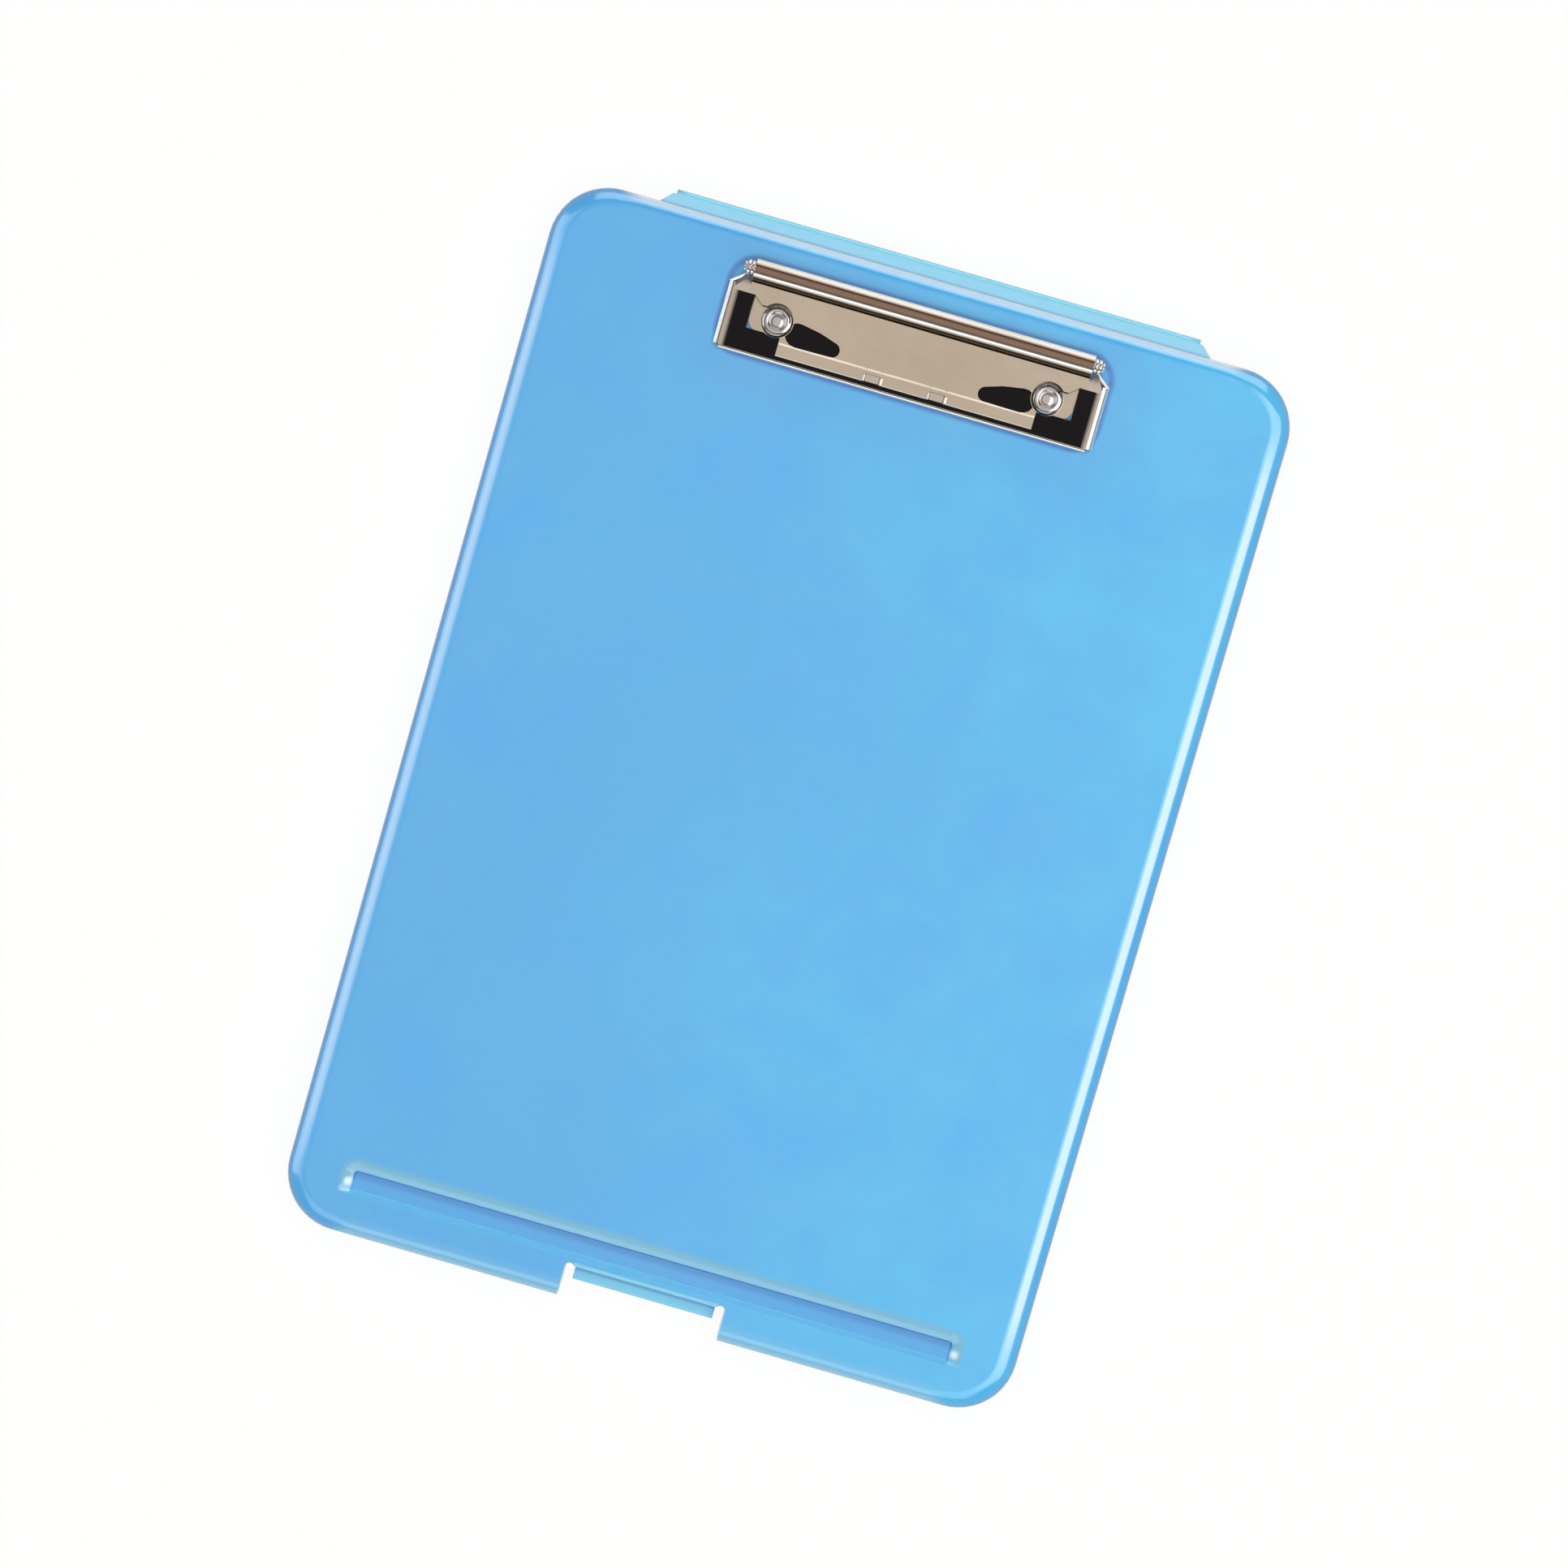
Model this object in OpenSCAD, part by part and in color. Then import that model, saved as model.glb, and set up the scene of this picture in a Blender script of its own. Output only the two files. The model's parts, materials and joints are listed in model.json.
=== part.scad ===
// Storage clipboard box: a shallow A4 tray, a hinged lid with a pen groove, and a spring clip riveted to it.
// Origin under the middle of the closed box, +Y towards the hinge and the clip, +Z up, millimetres.

/* [Box] */
// Width of the box
box_w = 240; // [200:1:290]
// Length of the box without the hinge
box_l = 341; // [285:1:410]
// Height of the closed box without the clip
box_h = 20; // [19:0.5:26]
// Height of the lid's side
lid_side_h = 6.5; // [6:0.1:7.8]
// Radius of the corners, seen from above
corner_r = 19; // [14:0.5:24]
// Thickness of every moulded wall and plate
wall = 2.2; // [1.9:0.1:2.7]
// Radius of the lid's upper edge
lid_edge_r = 5; // [4:0.1:5.2]
// Radius of the tray's lower edge
foot_r = 4; // [3:0.1:5]
// Thickness of the lip on the tray's rim, which the lid closes over
lip_t = 1; // [0.8:0.05:1.1]
// Height of that lip
lip_h = 2.3; // [1.5:0.1:2.6]

/* [Hinge] */
// Length of the hinge flanges where they leave the box
flange_len = 179; // [140:1:190]
// Thickness of the hinge flanges
flange_t = 1.1; // [0.8:0.05:1.1]
// How far the flanges stand out of the box
flange_reach = 3.5; // [3:0.1:6]
// Outer radius of the thin folded web that joins the flanges
fold_r = 1.5; // [1.5:0.05:1.6]
// Thickness of that web
web_t = 0.5; // [0.3:0.05:0.7]

/* [Pen groove] */
// Length of the groove
groove_len = 205; // [120:1:210]
// Width of the groove
groove_w = 11.5; // [9.5:0.5:14]
// Depth of the groove
groove_depth = 2.4; // [1.5:0.1:2.6]
// From the lid's front edge to the groove
groove_inset = 13.5; // [13.5:0.1:20]
// Width of the gentle slope behind the groove and round its ends
groove_slope_w = 3.9; // [2:0.1:5]
// Depth of that slope before the step down to the groove's floor
groove_slope_h = 1; // [0.6:0.1:1.3]

/* [Latch] */
// Width of the notch in the middle of the front edge
notch_w = 52.8; // [40:0.1:60]
// Depth of the notch in the lid
notch_depth = 10.8; // [10:0.1:11]
// Open slit on each side of the latch tongue
slit_w = 3.2; // [2:0.1:4]
// Thickness of the latch tongue
tongue_t = 2; // [1.8:0.1:2.1]
// How far the tongue hangs below its hook
tongue_tail = 1.2; // [1:0.1:4]
// How far the finger lip stands out of the tongue
finger_lip = 5.8; // [3:0.1:7]
// How far the catch ridge stands out of the tray
catch_reach = 1.2; // [1:0.05:1.3]
// How far the tongue's hook passes behind the catch ridge
catch_hold = 0.7; // [0.4:0.05:0.8]

/* [Clip] */
// Width of the clip
clip_w = 123; // [118:1:150]
// Length of the clip, from its roll to its front lip
clip_l = 29.9; // [29.4:0.1:34]
// From the lid's rear edge to the clip
clip_inset = 9.4; // [8:0.1:40]
// Sheet thickness of the clip's plates
sheet_t = 0.8; // [0.6:0.05:0.9]
// Outer radius of the rolled knuckle
roll_r = 3.3; // [3.2:0.05:3.5]
// Length of the rolled knuckle
roll_len = 109; // [105:1:110]
// Radius of the hinge pin
pin_r = 1; // [0.8:0.05:1.05]
// Distance between the two rivets
rivet_spacing = 87.5; // [82:0.5:89]
// From the clip's rear edge to the rivets
rivet_inset = 17; // [16.5:0.1:17.2]
// Radius of the rivets' heads
rivet_head_r = 5; // [4.6:0.1:5.2]
// Radius of the rivets' shanks
rivet_shank_r = 2.4; // [1.5:0.1:2.9]
// Top of the jaw plate above the lid
jaw_h = 3; // [2.9:0.05:3.2]

/* [Springs] */
// Diameter of the spring wire
wire_d = 0.8; // [0.6:0.05:0.85]
// Radius of the coils, to the middle of the wire
coil_r = 1.75; // [1.7:0.05:1.8]
// Advance of each turn
coil_pitch = 1.3; // [1.25:0.05:1.6]
// Turns in each coil
coil_turns = 6; // [3:1:8]
// From the middle of the clip to each coil
coil_x = 30; // [10:1:35]

/* [Fits] */
// Gap between the tray's rim and the lid's edge
parting_gap = 0.15; // [0.1:0.05:0.3]
// Gap between the tray's lip and the lid
lap_gap = 0.25; // [0.2:0.05:0.3]
// Radial clearance of the clip's pin in the jaw
pin_clear = 0.05; // [0.02:0.01:0.1]
// Radial clearance of the pin and rivets in the pieces they are fixed in
fixed_clear = 0.02; // [0.01:0.01:0.05]
// Gap round the latch tongue
latch_gap = 0.15; // [0.1:0.05:0.3]
// Side gap between the ears and rolls on the pin
ear_gap = 0.4; // [0.3:0.05:0.5]

/* [Hidden] */
$fn = 96;
arc_steps = 8;
past = 1; // how far a cut runs past the face it opens
plastic = [0.42, 0.72, 0.93];
plastic_deep = [0.33, 0.64, 0.89];
nickel = [0.76, 0.73, 0.67];
bright_steel = [0.86, 0.86, 0.88];
dark_steel = [0.3, 0.3, 0.31];

// Box
flange_out = flange_reach + fold_r;
front_y = -(box_l + flange_out) / 2;
rear_y = front_y + box_l;
mid_y = (front_y + rear_y) / 2;
parting_z = box_h - lid_side_h;
lid_z = parting_z + parting_gap;
leaf_t = wall - lip_t - lap_gap;
flat_w = box_w - 2 * corner_r;
flat_l = box_l - 2 * corner_r;
// Hinge
hinge_y = rear_y + flange_reach;
flange_chamfer = flange_reach;
flange_corner_r = 1.3;
web_inset = 1; // each end of the web, from the flange's corner
web_len = flange_len - 2 * (flange_chamfer + web_inset);
// Pen groove
groove_y = front_y + groove_inset;
groove_front_a = 60; // slope of the front wall
groove_slope_a = atan(groove_slope_h / groove_slope_w);
groove_step_w = 0.7;
groove_foot_r = 1;
groove_corner = 0.5;
groove_front_r = 3;
// Latch
tongue_w = notch_w - 2 * slit_w;
slit_reach = 1.1; // how far the slits' round ends run past the notch
root_r = tongue_t / 2;
root_y = front_y + notch_depth + root_r;
root_z = box_h - root_r;
tongue_in_y = root_y + root_r;
tongue_out_y = root_y - root_r;
ridge_gap = 0.4;
alcove_y = tongue_in_y + ridge_gap + catch_reach;
lip_edge_r = 0.9;
tongue_bend_r = 1; // inner bend at the finger lip, and the tongue's rounded heel
ridge_h = 1.6;
ridge_z = parting_z - 0.6 - ridge_h; // a little below the tray's rim
ridge_end = 4; // each end of the ridge, from the tongue's side
hook_h = 1.8;
hook_z = ridge_z - 0.3 - hook_h; // a little play under the ridge
hook_end = 5;
hook_reach = ridge_gap + catch_hold;
ridge_w = tongue_w - 2 * ridge_end;
hook_w = tongue_w - 2 * hook_end;
tongue_foot_z = hook_z - tongue_tail;
// Clip, in its own frame: y = 0 at its rear edge and z = 0 on the lid
clip_y = rear_y - clip_inset;
cover_t = 0.7;
pin_y = -roll_r;
pin_h = roll_r + sheet_t + 0.3; // the roll turns just clear of the base plate
roll_in_r = roll_r - cover_t;
roll_half = roll_len / 2;
base_ear_x = roll_half + ear_gap;
jaw_ear_x = base_ear_x + sheet_t + ear_gap;
ear_r = 2.4;
pin_head_x = jaw_ear_x + sheet_t + ear_gap;
pin_head_t = 0.6;
pin_head_extra = 0.7;
rivet_x = rivet_spacing / 2;
lug_x = rivet_x + 8.9;
lug_front = rivet_inset + 4.7;
lug_r = 4;
base_rear = 0.6;
base_rear_r = 1;
arm_x = lug_x - 0.2; // the jaw lies over the edge of the lugs, which are lower
jaw_opening_r = rivet_head_r + 0.3;
jaw_bar = lug_front - 0.2; // front edge of the openings round the lugs
jaw_rear = 12;
ramp_front = 11;
ramp_rear = 5.6;
ramp_h = 1.9;
ramp_turn = 9.6; // where the ramp's outer side turns in towards the ear
shoulder_front = 8.8; // rear end of the straight skirt
shoulder_rear = 5.4;
skirt_bend_r = 2.2;
lip_bend_r = 1.3;
skirt_foot = 0.3;
crease = 2 * roll_r + 0.35;
strip_w = rivet_spacing - 4.7;
strip_rear = 23.9;
strip_front = 27.5;
tab_x = 10.4;
tab_w = 4.7;
tab_l = 2.3;
rivet_hole_r = rivet_shank_r + fixed_clear;
washer_t = 0.6;
tail_t = 0.8;
cover_opening_r = rivet_head_r + 0.3;
cover_end = 10.3; // rear edge of the cover's open corners
cover_corner = [4, 3.2]; // slanted step from there to the rivets
panel_overlap = 0.05; // how far the panel runs into the roll
panel_rear = crease + 0.7; // high rear edge of the panel, in front of the crease
panel_rear_h = pin_h + 1.5;
panel_front_h = pin_h + 0.5;
panel_lip_h = 0.2; // rise of the panel where it leaves the roll
panel_thin = 0.35; // how far the sheet's underside bends later than its top, so that it keeps its thickness
strip_slant = 0.6; // slant of the step down to the front strip
strip_bend = [0.4, 0.1]; // inner and outer bends at that step
strip_edge = 0.3; // bevel on the strip's front edge
tab_gap = 0.2;
lip_foot = 0.15;
rivet_head_h = 1.7;
rivet_rim = 0.3;
rivet_crown_w = 1.7; // from the head's edge to its highest ring
dimple_r = 2.3;
dimple_depth = 1.1;
dimple_rise = 0.4; // how far the dimple's middle stands up again
tail_r = rivet_shank_r + 1.2;
tail_bore_r = rivet_shank_r - 1;
tail_bore_h = 2;
roll_from = -60; // angles round the pin, from the rear upwards
roll_to = 168;
// Springs
leg_tip = [-14, sheet_t + wire_d / 2 + 0.02];
pin_at = [pin_y, pin_h];
leg_run = leg_tip - pin_at;
end_bend_r = 0.6;
coil_from = atan2(leg_run[1], leg_run[0]) + acos(coil_r / norm(leg_run));
end_a = roll_from - asin((end_bend_r + wire_d / 2 + 0.05) / roll_in_r);
coil_sweep = 360 * coil_turns + end_a - coil_from;
coil_steps = 8 * coil_turns;
coil_l = coil_pitch * coil_sweep / 360;

// Points on an arc round c, from angle a to angle b
function arc(c, r, a, b, steps = arc_steps) =
    [for (i = [0:steps]) c + r * [cos(a + (b - a) * i / steps), sin(a + (b - a) * i / steps)]];

// The same with half widths r[0] and r[1] along x and y
function oval(c, r, a, b, steps = arc_steps) =
    [for (p = arc([0, 0], 1, a, b, steps)) [c[0] + r[0] * p[0], c[1] + r[1] * p[1]]];

// Rectangle with one radius at its low-y corners and another at its high-y corners
function rounded_box(w, y0, y1, low_r, high_r) = concat(
    arc([w / 2 - low_r, y0 + low_r], low_r, -90, 0),
    arc([w / 2 - high_r, y1 - high_r], high_r, 0, 90),
    arc([high_r - w / 2, y1 - high_r], high_r, 90, 180),
    arc([low_r - w / 2, y0 + low_r], low_r, 180, 270));

// Outline drawn tightly round two circles, the first on the +x side
function taper(c1, r1, c2, r2) =
    let (d = c1 - c2, lean = asin((r1 - r2) / norm(d)), a = atan2(d[1], d[0]))
    concat(arc(c1, r1, a - 90 - lean, a + 90 + lean), arc(c2, r2, a + 90 + lean, a + 270 - lean));

// Extrudes a (y, z) section along x, centred on the middle of the part
module along_x(len) {
    rotate([90, 0, 90])
        linear_extrude(len, center = true)
            children();
}

// Extrudes a (y, z) section between two x values
module between_x(x0, x1) {
    translate([(x0 + x1) / 2, 0, 0])
        along_x(x1 - x0)
            children();
}

// Repeats a piece on both sides of the middle
module both_sides() {
    children();
    mirror([1, 0, 0])
        children();
}

// Carries a section round the box: turned at the corners, drawn along the sides, flat in the middle
module around_box(plate_z, plate_t) {
    translate([0, mid_y, 0]) {
        for (turn = [0:3]) {
            across = turn % 2 == 0 ? flat_w : flat_l;
            along = turn % 2 == 0 ? flat_l : flat_w;
            rotate([0, 0, 90 * turn])
                translate([across / 2, 0, 0]) {
                    rotate([90, 0, 0])
                        linear_extrude(along, center = true)
                            children();
                    translate([0, along / 2, 0])
                        rotate_extrude(angle = 90)
                            children();
                }
        }
        if (plate_t > 0)
            translate([-flat_w / 2, -flat_l / 2, plate_z])
                cube([flat_w, flat_l, plate_t]);
    }
}

// Section from the corner's centre out to out_r, with its outer top edge rounded by r
module round_top_section(out_r, z0, z1, r) {
    translate([0, z0])
        square([out_r - r, z1 - z0]);
    translate([out_r - r, z0])
        square([r, z1 - r - z0]);
    translate([out_r - r, z1 - r])
        intersection() {
            circle(r);
            square(r);
        }
}

// The same with its outer bottom edge rounded
module round_foot_section(out_r, z0, z1, r) {
    translate([0, z0 + z1])
        mirror([0, 1])
            round_top_section(out_r, z0, z1, r);
}

// Solid outer form of the tray, and the hollow inside it
module tray_form() {
    around_box(0, parting_z)
        round_foot_section(corner_r, 0, parting_z, foot_r);
}

module tray_hollow() {
    around_box(wall, parting_z - wall + past)
        round_foot_section(corner_r - wall, wall, parting_z + past, foot_r - wall);
}

// Lip on the rim, left out at the latch
module rim_lip() {
    difference() {
        around_box(0, 0)
            translate([corner_r - wall, parting_z])
                square([lip_t, lip_h]);
        translate([-notch_w / 2 - 2 * wall, front_y - past, parting_z - past])
            cube([notch_w + 4 * wall, 2 * wall + past, lip_h + 2 * past]);
    }
}

// Half of the hinge: a flange with chamfered ends and rounded corners
module hinge_flange(z0) {
    half = flange_len / 2;
    turn_at = [half - flange_chamfer - flange_corner_r * tan(22.5), hinge_y - flange_corner_r];
    translate([0, 0, z0])
        linear_extrude(flange_t)
            polygon(concat(
                [[-half, rear_y - leaf_t / 2], [half, rear_y - leaf_t / 2], [half, rear_y]],
                arc(turn_at, flange_corner_r, 45, 90, 4),
                arc([-turn_at[0], turn_at[1]], flange_corner_r, 90, 135, 4),
                [[-half, rear_y]]));
}

// Ridge that the latch hooks under, sloped on top for closing
module catch_ridge() {
    along_x(ridge_w)
        polygon([
            [alcove_y, ridge_z],
            [alcove_y, ridge_z + ridge_h],
            [alcove_y - catch_reach, ridge_z + ridge_h / 2],
            [alcove_y - catch_reach, ridge_z]
        ]);
}

module tray() {
    color(plastic_deep) {
        difference() {
            tray_form();
            difference() {
                tray_hollow();
                translate([-notch_w / 2 - wall, front_y, 0])
                    cube([notch_w + 2 * wall, alcove_y + wall - front_y, parting_z + 2 * past]);
            }
            translate([-notch_w / 2, front_y - past, -past])
                cube([notch_w, alcove_y - front_y + past, parting_z + 2 * past]);
        }
        rim_lip();
        hinge_flange(parting_z - fold_r);
        catch_ridge();
    }
}

// Front wall of the groove, and all that lies behind it
module groove_front_section(front, floor_z) {
    rise = box_h - floor_z - groove_foot_r * (1 - cos(groove_front_a));
    foot_y = front + groove_foot_r * sin(groove_front_a) + rise / tan(groove_front_a);
    polygon(concat(
        [[front, box_h + past], [front, box_h]],
        arc([foot_y, floor_z + groove_foot_r], groove_foot_r, 270 - groove_front_a, 270, 4),
        [[rear_y, floor_z], [rear_y, box_h + past]]));
}

// Groove: steep front wall, floor, and a gentle slope behind it and round both ends. Grown by the wall, it is
// the plate under the groove
module groove(grow) {
    depth = groove_depth + grow;
    floor_z = box_h - depth;
    front = groove_y - grow * tan(groove_front_a / 2);
    step = groove_corner + groove_step_w + grow;
    step_z = box_h - groove_slope_h - grow * (1 - tan(groove_slope_a));
    reach = step + (box_h - step_z) / tan(groove_slope_a);
    turn_x = groove_len / 2 - groove_slope_w - groove_step_w - groove_corner;
    turn_y = groove_y + groove_w - groove_slope_w - groove_step_w - groove_corner;
    slope = [[0, floor_z], [step - groove_step_w, floor_z], [step, step_z], [reach, box_h], [reach, box_h + past],
        [0, box_h + past]];
    intersection() {
        union() {
            along_x(2 * turn_x) {
                translate([turn_y, 0])
                    polygon(slope);
                translate([front - past, floor_z])
                    square([turn_y - front + past, depth + past]);
            }
            both_sides()
                translate([turn_x, turn_y, 0]) {
                    rotate_extrude(angle = 90)
                        polygon(slope);
                    rotate([90, 0, 0])
                        linear_extrude(turn_y - front + past)
                            polygon(slope);
                }
        }
        along_x(box_w)
            groove_front_section(front, floor_z);
        linear_extrude(2 * box_h)
            polygon(rounded_box(2 * (turn_x + reach) + 0.2, front - 0.1, rear_y, groove_front_r, 1));
    }
}

// Space that the latch tongue hangs in, down from its rounded root
module tongue_seat() {
    seat_r = root_r + latch_gap;
    along_x(tongue_w + 2 * latch_gap) {
        translate([front_y - past, 0])
            square([root_y - front_y + past, box_h + past]);
        translate([root_y, 0])
            square([seat_r, root_z]);
    }
    translate([0, root_y, root_z])
        rotate([0, 90, 0])
            cylinder(r = seat_r, h = tongue_w + 2 * latch_gap, center = true);
}

// Notch in the front edge, with a round-ended slit on each side of the tongue
module notch() {
    linear_extrude(box_h + past) {
        translate([-notch_w / 2, front_y - past])
            square([notch_w, notch_depth + past]);
        for (side = [-1, 1])
            translate([side * (notch_w - slit_w) / 2, front_y + notch_depth + slit_reach - slit_w / 2])
                circle(slit_w / 2);
    }
}

module rivet_places() {
    for (side = [-1, 1])
        translate([side * rivet_x, clip_y - rivet_inset, box_h])
            children();
}

module lid() {
    color(plastic) {
        difference() {
            around_box(lid_z, box_h - lid_z)
                round_top_section(corner_r, lid_z, box_h, lid_edge_r);
            difference() {
                around_box(lid_z - past, box_h - wall - lid_z + past)
                    round_top_section(corner_r - wall, lid_z - past, box_h - wall, lid_edge_r - wall);
                translate([-notch_w / 2 - wall, front_y, 0])
                    cube([notch_w + 2 * wall, notch_depth, box_h]);
                groove(wall);
            }
            around_box(0, 0)
                translate([corner_r - wall - past, lid_z - past])
                    square([wall + past - leaf_t, lip_h + lap_gap + past]);
            notch();
            tongue_seat();
            groove(0);
            rivet_places()
                translate([0, 0, -wall - past])
                    cylinder(r = rivet_hole_r, h = wall + 2 * past);
        }
        hinge_flange(parting_z + fold_r - flange_t);
    }
}

// Thin moulded web, folded round the hinge line when the box is shut
module hinge_web() {
    color(plastic_deep)
        translate([0, hinge_y, parting_z])
            along_x(web_len)
                intersection() {
                    difference() {
                        circle(fold_r);
                        circle(fold_r - web_t);
                    }
                    translate([0, -2 * fold_r])
                        square([2 * fold_r, 4 * fold_r]);
                }
}

// Springy tongue: rounded root, straight leg, hook on its inner face and finger lip at its foot
module latch_tongue() {
    lip_y = tongue_out_y - finger_lip;
    lip_top = tongue_foot_z + 2 * lip_edge_r;
    bend_r = tongue_bend_r;
    color(plastic) {
        along_x(tongue_w)
            translate([root_y, root_z])
                circle(root_r);
        along_x(tongue_w)
            polygon(concat(
                [[tongue_out_y, root_z], [tongue_in_y, root_z]],
                arc([tongue_in_y - bend_r, tongue_foot_z + bend_r], bend_r, 0, -90, 4),
                arc([lip_y + lip_edge_r, tongue_foot_z + lip_edge_r], lip_edge_r, 270, 90),
                arc([tongue_out_y - bend_r, lip_top + bend_r], bend_r, -90, 0, 4)));
        along_x(hook_w)
            polygon([
                [tongue_in_y, hook_z],
                [tongue_in_y, hook_z + hook_h],
                [tongue_in_y + hook_reach, hook_z + hook_h],
                [tongue_in_y + hook_reach, hook_z + hook_h / 2]
            ]);
    }
}

module clip_place() {
    translate([0, clip_y, box_h])
        children();
}

// Cylinder along x, centred on the clip's hinge line
module on_pin(x0, x1, r) {
    translate([x0, pin_y, pin_h])
        rotate([0, 90, 0])
            cylinder(r = r, h = x1 - x0);
}

// Ear that carries the pin: round at the pin, on a straight foot
module pin_ear(x0, foot) {
    difference() {
        union() {
            on_pin(x0, x0 + sheet_t, ear_r);
            between_x(x0, x0 + sheet_t)
                polygon(foot);
        }
        children();
    }
}

module clip_base_plate() {
    color(nickel)
        clip_place() {
            difference() {
                linear_extrude(sheet_t)
                    polygon(rounded_box(2 * lug_x, -lug_front, -base_rear, lug_r, base_rear_r));
                for (side = [-1, 1])
                    translate([side * rivet_x, -rivet_inset, -past])
                        cylinder(r = rivet_hole_r, h = sheet_t + 2 * past);
            }
            both_sides() {
                translate([lug_x - lug_r, pin_y - ear_r, 0])
                    cube([base_ear_x + sheet_t - lug_x + lug_r, 2 * ear_r, sheet_t]);
                pin_ear(base_ear_x, [
                    [pin_y - ear_r, 0],
                    [pin_y + ear_r, 0],
                    [pin_y + ear_r, pin_h],
                    [pin_y - ear_r, pin_h]
                ])
                    on_pin(base_ear_x - past, base_ear_x + sheet_t + past, pin_r + fixed_clear);
            }
        }
}

module clip_hinge_pin() {
    color(bright_steel)
        clip_place() {
            on_pin(-pin_head_x, pin_head_x, pin_r);
            both_sides()
                on_pin(pin_head_x, pin_head_x + pin_head_t, pin_r + pin_head_extra);
        }
}

// Strip of the roll between its free edge and the crease
module roll_section() {
    translate([pin_y, pin_h])
        intersection() {
            difference() {
                circle(roll_r);
                circle(roll_in_r);
            }
            polygon(concat([[0, 0]], arc([0, 0], 2 * roll_r, roll_from, roll_to, 2 * arc_steps)));
        }
}

// Side view of the cover: crease in front of the roll, sloping panel, and the step down to the front strip
module panel_section() {
    inner_y = pin_y - roll_in_r - panel_overlap;
    strip_h = jaw_h + cover_t;
    polygon([
        [inner_y, panel_front_h - cover_t],
        [inner_y, panel_front_h + panel_lip_h],
        [-crease, panel_front_h],
        [-panel_rear, panel_rear_h],
        [strip_slant - strip_rear, panel_front_h],
        [-strip_rear, strip_h + strip_bend[1]],
        [strip_edge - strip_front, strip_h],
        [-strip_front, strip_h - strip_edge],
        [-strip_front, jaw_h],
        [strip_bend[0] - strip_rear, jaw_h],
        [strip_bend[0] + strip_slant - strip_rear, panel_front_h - cover_t],
        [-panel_rear - panel_thin, panel_rear_h - cover_t],
        [-crease - panel_thin, panel_front_h - cover_t]
    ]);
}

// Opening in the cover: an open front corner, a round hole over the rivet, and an almond towards the middle
module cover_cutout() {
    // the almond's circles, from the rivet inwards: place from the rivet, and radius
    almond = [[[-7.3, -2.7], 3.75], [[-13.5, -3.2], 3.2], [[-19.1, -4], 2.3]];
    step_x = roll_half - 1;
    step_y = -cover_end - cover_corner[1];
    translate([0, 0, jaw_h - past])
        linear_extrude(roll_r * 2) {
            polygon([
                [strip_w / 2, -clip_l],
                [clip_w / 2, -clip_l],
                [clip_w / 2, -cover_end],
                [step_x, -cover_end],
                [step_x - cover_corner[0], step_y],
                [strip_w / 2, step_y]
            ]);
            translate([rivet_x, -rivet_inset]) {
                circle(cover_opening_r);
                for (i = [0:1])
                    polygon(taper(almond[i][0], almond[i][1], almond[i + 1][0], almond[i + 1][1]));
            }
        }
}

module clip_cover_plate() {
    color(nickel)
        clip_place()
            difference() {
                along_x(roll_len) {
                    roll_section();
                    panel_section();
                }
                both_sides() {
                    cover_cutout();
                    translate([tab_x - tab_w / 2, -strip_front - past, 0])
                        cube([tab_w, strip_front - strip_rear, clip_l]);
                }
            }
}

// Side skirt of the jaw: bent down from the top plate with a wide radius
module jaw_skirt() {
    bend_x = clip_w / 2 - skirt_bend_r;
    translate([0, -shoulder_front, 0])
        rotate([90, 0, 0])
            linear_extrude(clip_l - lip_bend_r - shoulder_front) {
                translate([bend_x, jaw_h - skirt_bend_r])
                    intersection() {
                        difference() {
                            circle(skirt_bend_r);
                            circle(skirt_bend_r - sheet_t);
                        }
                        square(skirt_bend_r);
                    }
                translate([clip_w / 2 - sheet_t, skirt_foot])
                    square([sheet_t, jaw_h - skirt_bend_r - skirt_foot]);
            }
}

// Front lip of the jaw, which presses on the paper
module jaw_lip() {
    bend_y = lip_bend_r - clip_l;
    along_x(clip_w - 2 * skirt_bend_r) {
        translate([bend_y, jaw_h - lip_bend_r])
            intersection() {
                difference() {
                    circle(lip_bend_r);
                    circle(lip_bend_r - sheet_t);
                }
                translate([-lip_bend_r, 0])
                    square(lip_bend_r);
            }
        translate([-clip_l, lip_foot])
            square([sheet_t, jaw_h - lip_bend_r - lip_foot]);
    }
}

// Flat plate of the jaw, open to the rear round each rivet and its lug
module jaw_plate() {
    bar_w = clip_w - 2 * skirt_bend_r;
    translate([0, 0, jaw_h - sheet_t])
        linear_extrude(sheet_t)
            difference() {
                translate([-bar_w / 2, lip_bend_r - clip_l])
                    square([bar_w, clip_l - lip_bend_r - jaw_rear]);
                both_sides()
                    translate([rivet_x, -rivet_inset]) {
                        circle(jaw_opening_r);
                        translate([0, rivet_inset - jaw_bar])
                            square([arm_x - rivet_x, jaw_bar]);
                    }
            }
}

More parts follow.
